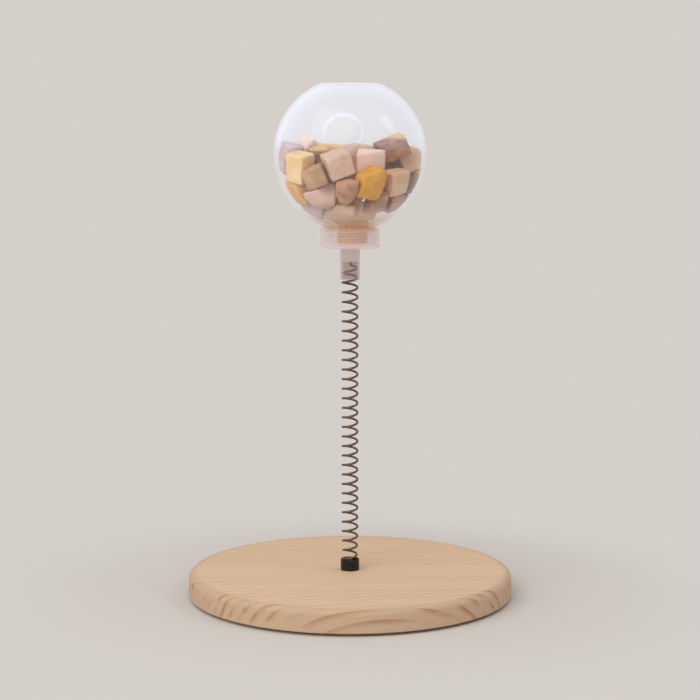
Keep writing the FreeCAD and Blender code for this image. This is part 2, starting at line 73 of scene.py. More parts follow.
camera_data = bpy.data.cameras.new("camera")
camera_data.sensor_width = SENSOR_WIDTH
camera_data.lens = SENSOR_WIDTH * FOCAL_PIXELS / PICTURE_SIDE
camera = bpy.data.objects.new("camera", camera_data)
camera.location = (0, -CAMERA_DISTANCE, CAMERA_HEIGHT)
camera.rotation_euler = (math.pi / 2 - CAMERA_TIP, 0, 0)
bpy.context.scene.collection.objects.link(camera)
bpy.context.scene.camera = camera
print("camera lens:", round(camera_data.lens, 1), "mm")

# %% [markdown]
# A surface is a grid of points: rows along a profile and columns round it. The same few lines
# turn any such grid into a mesh. The last column always joins the first, and the last row can do
# the same, as in a ring. Rows that shrink to a point are merged into one, so that no piece has a
# hole or a seam.


# %% From grids of points to a mesh
MERGE_DISTANCE = 1e-6


def grid_corners(rows, columns, loop_rows):
    """Four corner numbers for each face between neighbouring rows and columns of a grid."""
    number = np.arange(rows * columns).reshape(rows, columns)
    if loop_rows:
        number = np.vstack([number, number[:1]])
    number = np.hstack([number, number[:, :1]])
    corners = [number[:-1, :-1], number[:-1, 1:], number[1:, 1:], number[1:, :-1]]
    return np.stack(corners, axis=-1).reshape(-1, 4)


def make_piece(name, grids, loop_rows=False, attributes=None):
    """One object from one or more grids, its doubled points merged and its faces outwards."""
    points = []
    faces = []
    count = 0
    for grid in grids:
        corners = grid_corners(*grid.shape[:2], loop_rows)
        points.append(grid.reshape(-1, 3))
        faces.append(corners + count)
        count += grid.shape[0] * grid.shape[1]
    mesh = bpy.data.meshes.new(name)
    mesh.from_pydata(np.concatenate(points).tolist(), [], np.concatenate(faces).tolist())
    for label, numbers in (attributes or {}).items():
        kind, slot = ("FLOAT", "value") if numbers.ndim == 1 else ("FLOAT_VECTOR", "vector")
        attribute = mesh.attributes.new(label, kind, "POINT")
        attribute.data.foreach_set(slot, numbers.astype(np.float32).ravel())
    work = bmesh.new()
    work.from_mesh(mesh)
    bmesh.ops.remove_doubles(work, verts=work.verts, dist=MERGE_DISTANCE)
    loose = [edge for edge in work.edges if edge.is_wire]
    bmesh.ops.delete(work, geom=loose, context="EDGES")
    bmesh.ops.recalc_face_normals(work, faces=work.faces)
    work.to_mesh(mesh)
    work.free()
    mesh.shade_smooth()
    piece = bpy.data.objects.new(name, mesh)
    bpy.context.scene.collection.objects.link(piece)
    print(name, len(mesh.polygons), "faces")
    return piece


# %% [markdown]
# Most of the hardware is turned: a half outline carried once round the axis. A lathe or a mould
# leaves no edge perfectly sharp, and an edge only catches the light where it is rounded, so the
# outline's corners are replaced by small arcs. Two extra points close to each arc keep the flat
# stretches flat when the shading is smoothed.


# %% Outlines and turning
def rounded(corners, steps=6, guard=0.08 * MM):
    """An outline of (radius, height) with arcs for corners, each (radius, height, rounding).

    An arc starts and ends at a distance of rounding times the tangent of half the turn from its
    corner, and swings from one end to the other about the point a rounding away from both sides.
    """
    outline = []
    for number, (radius, height, rounding) in enumerate(corners):
        here = np.array([radius, height])
        first, last = number == 0, number == len(corners) - 1
        if first or last or rounding == 0:
            outline.append(here[None])
            continue
        back = np.array(corners[number - 1][:2]) - here
        ahead = np.array(corners[number + 1][:2]) - here
        back_run = back / np.linalg.norm(back)
        ahead_run = ahead / np.linalg.norm(ahead)
        turn = math.pi - math.acos(np.clip(back_run @ ahead_run, -1, 1))
        reach = rounding * math.tan(turn / 2)
        start, end = here + back_run * reach, here + ahead_run * reach
        inward = (back_run + ahead_run) / np.linalg.norm(back_run + ahead_run)
        centre = here + inward * math.hypot(reach, rounding)
        swing = np.linspace(0, turn, steps + 1)[:, None]
        arc = np.sin(turn - swing) * (start - centre) + np.sin(swing) * (end - centre)
        arc = centre + arc / math.sin(turn)
        outline.extend([(start + back_run * guard)[None], arc, (end + ahead_run * guard)[None]])
    return np.concatenate(outline)


def arc_about_origin(radius, start_angle, end_angle, steps):
    """Points (r, z) on a circle about the origin, angles in radians up from the level."""
    angle = np.linspace(start_angle, end_angle, steps)
    return np.stack([radius * np.cos(angle), radius * np.sin(angle)], axis=-1)


def turned(outline, columns=160):
    """The grid that an outline sweeps in one turn: x = radius cos angle, y = radius sin angle."""
    angle = np.linspace(0, math.tau, columns, endpoint=False)
    radius, height = outline[:, 0, None], outline[:, 1, None]
    sides = (radius * np.cos(angle), radius * np.sin(angle), height)
    return np.stack(np.broadcast_arrays(*sides), axis=-1)


def smooth(share):
    """0 below 0, 1 above 1, and a level start and end between them: 3 s^2 - 2 s^3."""
    share = np.clip(share, 0, 1)
    return share * share * (3 - 2 * share)


# %% [markdown]
# A finish is a small program of nodes. Written as a chain of node calls it is hard to follow, so a
# number that a finish works out is wrapped in a class whose operators add the Math nodes, and
# every other node comes from one method that takes its kind, its settings and its sockets.


# %% A class for a finish's numbers
class Wire:
    """An output in a finish; Python's operators on it add Math nodes."""

    def __init__(self, finish, socket):
        self.finish = finish
        self.socket = socket

    def __add__(self, other):
        return self.finish.math("ADD", self, other)

    def __sub__(self, other):
        return self.finish.math("SUBTRACT", self, other)

    def __rsub__(self, other):
        return self.finish.math("SUBTRACT", other, self)

    def __mul__(self, other):
        return self.finish.math("MULTIPLY", self, other)

    def __truediv__(self, other):
        return self.finish.math("DIVIDE", self, other)

    def __pow__(self, other):
        return self.finish.math("POWER", self, other)


class Finish:
    """A material, or the world, and the one method that adds its nodes."""

    def __init__(self, name, world=None):
        self.owner = world or bpy.data.materials.new(name)
        self.owner.use_nodes = True
        self.tree = self.owner.node_tree
        self.tree.nodes.clear()

    def node(self, kind, settings=None, sockets=None, output=0):
        """Adds a node: its settings first, then its sockets."""
        made = self.tree.nodes.new("ShaderNode" + kind)
        for name, setting in (settings or {}).items():
            setattr(made, name, setting)
        for name, value in (sockets or {}).items():
            if isinstance(value, Wire):
                self.tree.links.new(value.socket, made.inputs[name])
            else:
                made.inputs[name].default_value = value
        return Wire(self, made.outputs[output])

    def other_output(self, wire, name):
        """Another output of the node that a wire comes from."""
        return Wire(self, wire.socket.node.outputs[name])

    def math(self, operation, first, second=0.0):
        """A Math node on two inputs, each a number or an output."""
        return self.node("Math", {"operation": operation}, {0: first, 1: second})

    def mix(self, share, first, second):
        """A colour that is the first one where share is 0 and the second one where it is 1."""
        sockets = {0: share, 6: first, 7: second}
        return self.node("Mix", {"data_type": "RGBA"}, sockets, output=2)

    def step(self, value, start, end):
        """0 where value is at start, 1 where it is at end, smooth between and level outside."""
        sockets = {"Value": value, "From Min": start, "From Max": end}
        return self.node("MapRange", {"interpolation_type": "SMOOTHSTEP"}, sockets)

    def noise(self, place, scale, detail=2.0, roughness=0.5):
        """A soft random pattern between 0 and 1, with scale blotches to the metre."""
        sockets = {"Vector": place, "Scale": scale, "Detail": detail, "Roughness": roughness}
        return self.node("TexNoise", sockets=sockets)

    def place(self, stretch=(1, 1, 1), turn=(0, 0, 0), start=None):
        """The object's own coordinates, in metres, stretched and turned."""
        start = start or self.node("TexCoord", output="Object")
        sockets = {"Vector": start, "Rotation": turn, "Scale": stretch}
        return self.node("Mapping", {"vector_type": "POINT"}, sockets)

    def bump(self, height, distance, strength):
        """A surface direction tilted as if a height of 1 stood out by the distance."""
        sockets = {"Height": height, "Distance": distance, "Strength": strength}
        return self.node("Bump", sockets=sockets)

    def show(self, shader, kind="Material"):
        """Makes a shader the surface that the material or the world shows."""
        end = self.tree.nodes.new("ShaderNodeOutput" + kind)
        self.tree.links.new(shader.socket, end.inputs["Surface"])
        return self.owner


def tone(red, green, blue):
    """The linear colour of a screen colour whose parts run from 0 to 255."""
    parts = np.array([red, green, blue]) / 255
    linear = np.where(parts <= 0.04045, parts / 12.92, ((parts + 0.055) / 1.055) ** 2.4)
    return (*linear.tolist(), 1.0)


def dress(piece, material, slot):
    """Gives a piece its material; the slot is not used."""
    piece.data.materials.clear()
    piece.data.materials.append(material)


# %% [markdown]
# The base is a pine board turned to a disc. Growth rings are surfaces around the tree's heart, so
# the pattern is worked out in the solid: the distance from a line along the grain, which runs 50
# mm below the floor and 150 mm in front of the disc's middle. One formula then gives the
# near-straight lines on top and the slanting arcs round the rim, and they meet at the edge as they
# do in wood. Late wood is the dark part of each ring: it darkens slowly and stops short. The rim
# cuts across the grain and shows its rings more strongly. The rim is also painted darker, partly
# for the end grain and partly as painted shade of the side. Three knots lie near the rim's left,
# each given by its place and radius in millimetres.


# %% Pine finish
GRAIN_TURN = math.radians(12)
RING_SPACING = 5.1 * MM
HEART_FRONT, HEART_BELOW = 150 * MM, 50 * MM
FIRST_RING = 91.2 * MM
RIM_FROM, RIM_TO = 80 * MM, 85.5 * MM
KNOTS = {(-81.0, -25.0, 10.5): 3.0, (-78.5, -30.5, 8.0): 2.0, (-49.5, -69.0, 11.0): 1.7}


def pine_finish():
    """Pale pine with rings, fibres and patches stretched along the grain, and with knots."""
    pine = Finish("pine")
    along_grain = (0, 0, -GRAIN_TURN)
    sides = pine.node("SeparateXYZ", sockets={0: pine.place(turn=along_grain)})
    across = pine.other_output(sides, "Y")
    height = pine.other_output(sides, "Z")
    from_heart = across + HEART_FRONT
    above_heart = height + HEART_BELOW
    distance = (from_heart * from_heart + above_heart * above_heart) ** 0.5
    drift = pine.noise(pine.place((5, 16, 16), along_grain), 1.0, 2.0) - 0.5
    ring = pine.math("FRACT", (distance - FIRST_RING) / RING_SPACING + drift * 0.9)
    late = pine.step(ring, 0.3, 0.96) * (1 - pine.step(ring, 0.965, 1.0))
    weight = pine.noise(pine.place((2.5, 95, 95), along_grain), 1.0, 1.0)
    late = late * pine.step(weight, 0.34, 0.66)

    level = {0: pine.place(), 1: (1, 1, 0)}
    level_place = pine.node("VectorMath", {"operation": "MULTIPLY"}, level)
    radius = pine.node("VectorMath", {"operation": "LENGTH"}, {0: level_place}, output="Value")
    end_grain_and_side_shade = pine.step(radius, RIM_FROM, RIM_TO)
    knot = 0.0
    for centre, size in KNOTS.items():
        away = pine.node("VectorMath", {"operation": "DISTANCE"}, {
            0: pine.place(),
            1: [MM * side for side in centre],
        }, output="Value")
        knot = (1 - pine.step(away, 0.3 * size * MM, size * MM)) + knot

    fibre = pine.noise(pine.place((22, 1300, 1300), along_grain), 1.0, 3.0, 0.6)
    patch = pine.noise(pine.place((7, 34, 34), along_grain), 1.0, 2.0)
    colour = pine.mix(patch, tone(229, 198, 166), tone(221, 188, 154))
    # The rim's darker tone is partly end grain and partly painted shade of the side.
    colour = pine.mix(end_grain_and_side_shade, colour, tone(204, 173, 144))
    colour = pine.mix(late * (1 - end_grain_and_side_shade) * 0.3, colour, tone(186, 128, 88))
    colour = pine.mix(late**1.6 * end_grain_and_side_shade * 0.8, colour, tone(164, 108, 66))
    colour = pine.mix(pine.step(fibre, 0.4, 0.75) * 0.16, colour, tone(198, 154, 116))
    colour = pine.mix(knot * 0.7, colour, tone(132, 72, 40))
    return pine.show(pine.node("BsdfPrincipled", sockets={
        "Base Color": colour,
        "Roughness": 0.6,
        "Specular IOR Level": 0.3,
        "Normal": pine.bump(fibre - late * 0.5, 0.1 * MM, 0.45),
    }))


# %% Wooden base
BASE_LOW, BASE_HIGH = (corner[2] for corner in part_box("wooden_base"))
BASE_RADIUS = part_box("wooden_base")[1][0]
TOP_ROUND = 3.2 * MM
BOTTOM_EASE = 0.8 * MM
SCREW_HEAD, SCREW_SHANK, SCREW_TIP = 3 * MM, 1.5 * MM, 0.75 * MM
SCREW_SINK = 0.4 * MM
SCREW_BORE = SCREW_SHANK + 0.25 * MM

base_outline = rounded([
    (SCREW_BORE, (BASE_LOW + BASE_HIGH) / 2, 0),
    (SCREW_BORE, BASE_HIGH, 0.2 * MM),
    (BASE_RADIUS, BASE_HIGH, TOP_ROUND),
    (BASE_RADIUS, BASE_LOW, BOTTOM_EASE),
    (SCREW_HEAD, BASE_LOW, 0.1 * MM),
    (SCREW_HEAD, BASE_LOW + SCREW_SINK, 0.05 * MM),
    (SCREW_BORE, BASE_LOW + SCREW_SINK + SCREW_HEAD - SCREW_SHANK, 0),
], steps=12)
base = make_piece("pine_base", [turned(base_outline, 256)], loop_rows=True)
dress(base, pine_finish(), "pine")
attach(base, "base")
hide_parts("wooden_base")

# %% [markdown]
# Under the base sit four thin rubber pads and the countersunk screw that holds the ferrule. Nobody
# sees them from the front, but the object can be turned over. The pads are turned like the base
# and moved out on a circle. The screw's driving cross is pressed up into its head by moving the
# grid's points inside a cross shape.


# %% Pads and screw
def rubber_finish():
    """Matt black rubber with a fine speckle."""
    rubber = Finish("pad_rubber")
    speck = rubber.noise(rubber.place(), 1500.0, 3.0, 0.6)
    colour = rubber.mix(speck, tone(38, 37, 36), tone(54, 52, 50))
    return rubber.show(rubber.node("BsdfPrincipled", sockets={
        "Base Color": colour,
        "Roughness": 0.75,
        "Normal": rubber.bump(speck, 0.05 * MM, 0.4),
    }))


def screw_finish():
    """Plated steel with fine scratches that change how rough it is."""
    zinc = Finish("zinc")
    scratch = zinc.noise(zinc.place((1, 1, 6)), 2200.0, 3.0, 0.6)
    return zinc.show(zinc.node("BsdfPrincipled", sockets={
        "Base Color": zinc.mix(scratch, tone(176, 172, 166), tone(204, 200, 194)),
        "Metallic": 1.0,
        "Roughness": scratch * 0.2 + 0.28,
        "Normal": zinc.bump(scratch, 0.02 * MM, 0.4),
    }))


PAD_RADIUS = 8 * MM
pad_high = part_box("anti_slip_pads")[1][2]
pad_reach = (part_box("anti_slip_pads")[1][0] - PAD_RADIUS) * math.sqrt(2)
pad_outline = rounded([
    (0, pad_high, 0),
    (PAD_RADIUS, pad_high, 0.15 * MM),
    (PAD_RADIUS, 0, 0.4 * MM),
    (0, 0, 0),
])
pad_grid = turned(pad_outline, 64)
pad_angles = math.pi / 4 + np.arange(4) * math.pi / 2
pad_grids = [pad_grid + pad_reach * np.array([math.cos(a), math.sin(a), 0]) for a in pad_angles]
pads = make_piece("rubber_pads", pad_grids)
dress(pads, rubber_finish(), "pad_rubber")
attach(pads, "base")
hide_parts("anti_slip_pads")

FACE_RINGS = 28
CROSS_ARM, CROSS_WIDTH, CROSS_DEPTH = 1.7 * MM, 0.42 * MM, 0.8 * MM
ARM_EASE, SIDE_EASE = 0.5 * MM, 0.2 * MM
screw_low, screw_high = (corner[2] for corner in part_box("base_screw"))
face_radii = np.linspace(0, SCREW_HEAD, FACE_RINGS)
screw_outline = np.concatenate([
    np.stack([face_radii, np.full(FACE_RINGS, screw_low)], axis=-1),
    rounded([
        (SCREW_HEAD, screw_low + 0.06 * MM, 0),
        (SCREW_SHANK, screw_low + SCREW_HEAD - SCREW_SHANK, 0.2 * MM),
        (SCREW_SHANK, screw_high - SCREW_TIP, 0.05 * MM),
        (SCREW_TIP, screw_high, 0.05 * MM),
        (0, screw_high, 0),
    ]),
])
screw_grid = turned(screw_outline, 96)
from_middle = np.abs(screw_grid[..., :2])
in_arm = smooth((CROSS_ARM - from_middle.max(axis=-1)) / ARM_EASE)
in_width = smooth((CROSS_WIDTH - from_middle.min(axis=-1)) / SIDE_EASE)
on_face = screw_grid[..., 2] < screw_low + 0.01 * MM
screw_grid[..., 2] += np.where(on_face, in_arm * in_width * CROSS_DEPTH, 0)
screw = make_piece("countersunk_screw", [screw_grid])
dress(screw, screw_finish(), "screw_steel")
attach(screw, "base")
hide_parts("base_screw")

# %% [markdown]
# The ferrule is a small black moulded cup with a spigot that goes down into the wood. Its thin
# rim is the only place that catches a highlight, so the rim's arcs matter more than anything else
# on it.


# %% Ferrule
def black_plastic_finish():
    """Black moulded plastic, half matt."""
    black = Finish("black_plastic")
    grain = black.noise(black.place(), 2600.0, 2.0, 0.5)
    return black.show(black.node("BsdfPrincipled", sockets={
        "Base Color": black.mix(grain, tone(14, 13, 14), tone(22, 20, 21)),
        "Roughness": grain * 0.12 + 0.3,
        "Specular IOR Level": 0.35,
        "Normal": black.bump(grain, 0.02 * MM, 0.5),
    }))


CUP_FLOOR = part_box("coil_spring")[0][2]
FERRULE_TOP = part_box("spring_ferrule")[1][2]
FERRULE_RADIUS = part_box("spring_ferrule")[1][0]
FERRULE_WALL = 0.7 * MM
FERRULE_BORE = FERRULE_RADIUS - FERRULE_WALL
SPIGOT_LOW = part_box("spring_ferrule")[0][2]
SPIGOT_RADIUS, SPIGOT_BORE = 3.2 * MM, 1.55 * MM
ferrule_outline = rounded([
    (0, CUP_FLOOR, 0),
    (FERRULE_BORE, CUP_FLOOR, 0.3 * MM),
    (FERRULE_BORE, FERRULE_TOP, 0.25 * MM),
    (FERRULE_RADIUS, FERRULE_TOP, 0.25 * MM),
    (FERRULE_RADIUS, BASE_HIGH, 0.1 * MM),
    (SPIGOT_RADIUS, BASE_HIGH, 0.1 * MM),
    (SPIGOT_RADIUS, SPIGOT_LOW, 0.1 * MM),
    (SPIGOT_BORE, SPIGOT_LOW, 0.1 * MM),
    (SPIGOT_BORE, BASE_HIGH, 0),
    (0, BASE_HIGH, 0),
])
ferrule = make_piece("ferrule", [turned(ferrule_outline, 128)])
dress(ferrule, black_plastic_finish(), "black_plastic")
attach(ferrule, "base")
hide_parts("spring_ferrule")

# %% [markdown]
# The spring is one length of wire. Its middle line is a formula in the number of turns: the angle
# grows with the turn, the height with the pitch, and the radius narrows over the lowest turns,
# where the wire goes down into the ferrule. The photographed spring is bent a little towards the
# viewer, so its upper turns lean forwards. A circle carried along that line makes the wire, drawn
# 1.2 mm thick, a little more than the frame's 1.1 mm, as it looks in the picture. The spring has
# to bend, so it is cut into two tubes at half height.

# %% Spring wire
WIRE_RADIUS = 0.6 * MM
SPRING_LOW, SPRING_HIGH = (corner[2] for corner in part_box("coil_spring"))
COIL_RADIUS = 3.95 * MM
COIL_END_RADIUS = 3.55 * MM
NARROW_TURNS = 4
TURNS = 31
TURN_POINTS = 40
START_ANGLE = math.radians(70)
STUB = 1.1 * MM
BEND = 1.4 * MM
FIRST_HEIGHT = STUB + BEND
PITCH = (SPRING_HIGH - SPRING_LOW - 2 * FIRST_HEIGHT) / TURNS
LEAN = math.tan(math.radians(6.5))
LEAN_GROWTH, LEAN_END_TURNS = 1.3, 3


def coil_line(turn):
    """The wire's middle after so many turns, drawn in a little at both ends for the last bend.

    The lean lowers each point by its distance to the front times the lean's slope. It grows up
    the spring and fades over the last turns, which the stem holds straight.
    """
    radius = COIL_END_RADIUS + (COIL_RADIUS - COIL_END_RADIUS) * smooth(turn / NARROW_TURNS)
    tuck = radius - np.sqrt(radius * radius - BEND * BEND)
    radius = radius - tuck * (1 - smooth(2 * np.minimum(turn, TURNS - turn)))
    angle = START_ANGLE + math.tau * turn
    growth = smooth(turn / TURNS * LEAN_GROWTH)
    lean = LEAN * growth * smooth((TURNS - turn) / LEAN_END_TURNS)
    height = SPRING_LOW + FIRST_HEIGHT + PITCH * turn + lean * radius * np.sin(angle)
    return np.stack([radius * np.cos(angle), radius * np.sin(angle), height], axis=-1)


def end_bend(turn, side):
    """A quarter bend from the coil to a straight stub, side -1 below and 1 above.

    The bend is a curve of the second degree: it leaves the coil along the wire, is drawn towards
    the corner where both straight lines meet, and comes into the stub upright.
    """
    before, start, after = coil_line(turn + np.array([-1e-4, 0, 1e-4]))
    run = (after - before) / np.linalg.norm(after - before)
    flat = np.array([run[0], run[1], 0])
    level = flat / np.linalg.norm(flat)
    stub = start + side * BEND * (level * (1 - run[2]) + np.array([0, 0, np.linalg.norm(flat)]))
    reach = np.linalg.norm(stub - start) / 2 / math.cos(math.acos(run[2]) / 2)
    corner = start + side * run * reach
    share = np.linspace(0, 1, 10)[:, None]
    bend = (1 - share) ** 2 * start + 2 * share * (1 - share) * corner + share**2 * stub
    end = np.array([stub[0], stub[1], SPRING_LOW if side < 0 else SPRING_HIGH])
    line = np.concatenate([bend, end[None]])
    return line[::-1] if side < 0 else line


coil_turns = np.linspace(0, TURNS, TURNS * TURN_POINTS + 1)
wire_line = np.concatenate([end_bend(0, -1), coil_line(coil_turns)[1:-1], end_bend(TURNS, 1)])
print("wire length:", round(np.linalg.norm(np.diff(wire_line, axis=0), axis=1).sum(), 3), "m")


def tube(line, radius, sides=14):
    """A circle carried along a line, its first arm away from the axis and square to the line."""
    run = np.gradient(line, axis=0)
    run /= np.linalg.norm(run, axis=1, keepdims=True)
    away = line * np.array([1, 1, 0])
    away = away - (away * run).sum(axis=1, keepdims=True) * run
    away /= np.linalg.norm(away, axis=1, keepdims=True)
    beside = np.cross(run, away)
    angle = np.linspace(0, math.tau, sides, endpoint=False)[None, :, None]
    circle = np.cos(angle) * away[:, None] + np.sin(angle) * beside[:, None]
    return line[:, None] + radius * circle


def closed_tube(line, radius):
    """A tube with a flat end on each side, closed to a point in its middle."""
    wall = tube(line, radius)
    ends = [np.broadcast_to(line[at][None, None], (1, *wall.shape[1:])) for at in (0, -1)]
    return np.concatenate([ends[0], wall, ends[1]])


# %% Spring finish and pieces
def wire_finish():
    """Dark drawn wire, a little streaky."""
    steel = Finish("spring_steel")
    streak = steel.noise(steel.place(), 900.0, 3.0, 0.6)
    return steel.show(steel.node("BsdfPrincipled", sockets={
        "Base Color": steel.mix(streak, tone(92, 76, 68), tone(134, 114, 104)),
        "Metallic": 1.0,
        "Roughness": streak * 0.18 + 0.24,
        "Normal": steel.bump(streak, 0.015 * MM, 0.5),
    }))


STEM_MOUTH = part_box("screw_cap")[0][2]
SPRING_MIDDLE = (FERRULE_TOP + STEM_MOUTH) / 2
cut = int(np.searchsorted(wire_line[:, 2], SPRING_MIDDLE))
spring_finish = wire_finish()
spans = {
    "spring_lower": (wire_line[: cut + 1], "base", "spring", FERRULE_TOP, SPRING_MIDDLE),
    "spring_upper": (wire_line[cut:], "spring", "cap", SPRING_MIDDLE, STEM_MOUTH),
}
for name, (line, below, above, low, high) in spans.items():
    half = make_piece(name, [closed_tube(line, WIRE_RADIUS)])
    dress(half, spring_finish, "spring_steel")
    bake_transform(half)
    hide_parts("coil_spring")

# %% [markdown]
# The cap and its stem are one moulding in milky, see-through plastic. What shows on it is inside
# it: the cap's thread and the neck's thread, seen through the wall as level lines. Both threads
# are the same helical ridge, pushed in from the cap's wall and out from the neck's, half a pitch
# apart, so that the ball can really unscrew.

# %% Thread relief
THREAD_PITCH = 3.0 * MM
THREAD_HEIGHT = 0.75 * MM
THREAD_FADE = 1.2 * MM
TOOTH_CREST, TOOTH_SLOPE = 1.6, 4.2
WALL_TOLERANCE = 0.02 * MM


def thread_relief(grid, radius, low, high, phase):
    """How far a helical ridge stands out at each point of a wall of this radius.

    Going up by a pitch, or round by a turn, leads from one tooth to the next. The tooth has a
    level crest and rounded flanks, and it fades out near both ends of the wall.
    """
    x, y, z = np.moveaxis(grid, -1, 0)
    share = np.arctan2(y, x) / math.tau
    along = z / THREAD_PITCH - share + phase
    tooth = smooth(TOOTH_CREST - TOOTH_SLOPE * np.abs(along - np.round(along)))
    fade = smooth((z - low) / THREAD_FADE) * smooth((high - z) / THREAD_FADE)
    on_wall = np.abs(np.hypot(x, y) - radius) < WALL_TOLERANCE
    return np.where(on_wall, THREAD_HEIGHT * tooth * fade, 0)


def push_out(grid, amount):
    """Moves a grid's points away from the axis by an amount each."""
    radius = np.maximum(np.hypot(grid[..., 0], grid[..., 1]), 1e-9)
    grid[..., :2] *= (1 + amount / radius)[..., None]
    return grid


def straight(start, end, steps):
    """Evenly spread points of an outline between two of its corners, without the corners."""
    share = np.linspace(0, 1, steps + 2)[1:-1, None]
    return np.array(start) * (1 - share) + np.array(end) * share


# %% Cap sizes
CAP_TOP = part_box("screw_cap")[1][2]
CAP_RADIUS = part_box("screw_cap")[1][0]
CAP_BOTTOM = STEM_MOUTH + 16.8 * MM
CAP_FLOOR = CAP_BOTTOM + 1.8 * MM
CAP_BORE = CAP_RADIUS - 1.5 * MM
STEM_RADIUS, STEM_BORE = 5.3 * MM, 4.7 * MM
SOCKET_ROOF = STEM_MOUTH + 9.6 * MM


# %% Milky plastic
def milky_finish():
    """Milky plastic, denser along the thread's flanks and where the eye grazes it; it glows a
    little as painted light, and the stem's edges carry a painted highlight.
    """
    milky = Finish("cap_plastic")
    cloud = milky.noise(milky.place(), 90.0, 2.0, 0.5)
    sides = milky.node("SeparateXYZ", sockets={0: milky.place()})
    height = milky.other_output(sides, "Z")
    angle = milky.math("ARCTAN2", milky.other_output(sides, "Y"), sides)
    along = milky.math("FRACT", height / THREAD_PITCH - angle / math.tau)
    crest = milky.math("ABSOLUTE", along - 0.5)
    band = milky.step(crest, 0.12, 0.2) * (1 - milky.step(crest, 0.3, 0.38))
    above_floor = milky.step(height, CAP_FLOOR, CAP_FLOOR + 0.8 * MM)
    below_top = 1 - milky.step(height, CAP_TOP - 1.0 * MM, CAP_TOP - 0.3 * MM)
    thread = band * above_floor * below_top
    body = milky.node("BsdfPrincipled", sockets={
        "Base Color": milky.mix(cloud, tone(253, 244, 243), tone(244, 232, 229)),
        "Roughness": 0.25,
        "Specular IOR Level": 0.5,
        "Coat Weight": 1.0,
        "Coat Roughness": 0.12,
        # The faint emission is painted light: it makes the plastic glow whiter.
        "Emission Color": (1.0, 0.93, 0.91, 1),
        "Emission Strength": 0.06,
        "Normal": milky.bump(thread, 0.25 * MM, 0.6),
    })
    stem = 1 - milky.step(height, CAP_BOTTOM - 0.4 * MM, CAP_BOTTOM + 0.2 * MM)
    clear = milky.node("BsdfTransparent", sockets={
        "Color": milky.mix(stem, tone(254, 248, 246), tone(234, 226, 224)),
    })
    edge = milky.node("LayerWeight", sockets={"Blend": 0.5}, output="Facing")
    share = cloud * 0.05 + 0.11 - stem * 0.04 + thread * 0.14
    # Grazing edges take more veil, as plastic seen on edge; the stem's doubled share is a painted
    # highlight along its sides.
    share = share + edge * edge * (stem * 0.5 + 0.5)
    return milky.show(milky.node("MixShader", sockets={0: share, 1: clear, 2: body}))


# %% Screw cap
THREAD_LOW, THREAD_HIGH = CAP_FLOOR + 0.6 * MM, CAP_TOP - 0.6 * MM
cap_outline = np.concatenate([
    rounded([
        (0, SOCKET_ROOF, 0),
        (STEM_BORE, SOCKET_ROOF, 0.3 * MM),
        (STEM_BORE, STEM_MOUTH, 0.15 * MM),
        (STEM_RADIUS, STEM_MOUTH, 0.15 * MM),
        (STEM_RADIUS, CAP_BOTTOM, 0.3 * MM),
        (CAP_RADIUS, CAP_BOTTOM, 0.6 * MM),
        (CAP_RADIUS, CAP_TOP, 0.5 * MM),
        (CAP_BORE, CAP_TOP, 0.3 * MM),
        (CAP_BORE, THREAD_HIGH, 0),
    ]),
    straight((CAP_BORE, THREAD_HIGH), (CAP_BORE, THREAD_LOW), 64),
    rounded([
        (CAP_BORE, THREAD_LOW, 0),
        (CAP_BORE, CAP_FLOOR, 0.3 * MM),
        (0, CAP_FLOOR, 0),
    ]),
])
cap_grid = turned(cap_outline, 144)
ridge = thread_relief(cap_grid, CAP_BORE, CAP_FLOOR, CAP_TOP, 0.5)
cap = make_piece("threaded_cap", [push_out(cap_grid, -ridge)])
dress(cap, milky_finish(), "cap_plastic")
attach(cap, "cap")
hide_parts("screw_cap")

# %% [markdown]
# The ball is a thin clear shell with a flat crown and a threaded neck. Its outline runs up the
# outside and down the inside, so the wall has its real thickness. The outlet at the back is a hole
# with a raised ring. A boolean cuts the hole through the turned shell, and the ring is a turned
# piece of its own, tipped to the outlet's direction, that covers the cut edge.
#
# The plastic is see-through by a share of transparency. The rest is a faint veil, which thickens
# as treat dust round the neck. The veil glows a little, which is painted light, and it is raised
# where the ball is empty, as painted sheen, and at its rim, partly for the plastic seen on edge
# and partly as a painted reflection.

# %% Ball sizes
BALL_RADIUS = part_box("treat_ball")[1][0]
BALL_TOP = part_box("treat_ball")[1][2]
NECK_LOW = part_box("treat_ball")[0][2]
BALL_WALL = 1.5 * MM
BALL_INSIDE = BALL_RADIUS - BALL_WALL
FLAT_RADIUS = 15.7 * MM
FLAT_HEIGHT = math.sqrt(BALL_RADIUS**2 - FLAT_RADIUS**2)
BALL_CENTRE = BALL_TOP - FLAT_HEIGHT
NECK_RADIUS, NECK_BORE = 13.2 * MM, 11.7 * MM
NECK_GAP = 0.04 * MM
LIP_HEIGHT = 0.8 * MM
CROWN_ANGLE, CROWN_MARGIN = math.acos(FLAT_RADIUS / BALL_RADIUS), 0.04
SHARP_ANGLE = math.radians(40)
OUTLET_RADIUS = 9.9 * MM
OUTLET_RIM = 11.2 * MM
CUTTER_RADIUS, CUTTER_LOW, CUTTER_HIGH = 10.4 * MM, 30 * MM, 46 * MM
RING_RISE = 0.7 * MM
OUTLET_UP, OUTLET_TURN = math.radians(17), math.radians(6)
OUTLET_RUN = np.array([
    -math.cos(OUTLET_UP) * math.sin(OUTLET_TURN),
    math.cos(OUTLET_UP) * math.cos(OUTLET_TURN),
    math.sin(OUTLET_UP),
])
print("ball centre:", round(BALL_CENTRE, 5), "m above the floor")


# %% Clear plastic
EMPTY_FROM, EMPTY_TO = BALL_CENTRE - 2 * MM, BALL_CENTRE + 12 * MM
DUST_LOW, DUST_FULL = BALL_CENTRE - 41 * MM, BALL_CENTRE - 39.6 * MM
DUST_FADE, DUST_END = BALL_CENTRE - 37 * MM, BALL_CENTRE - 25 * MM


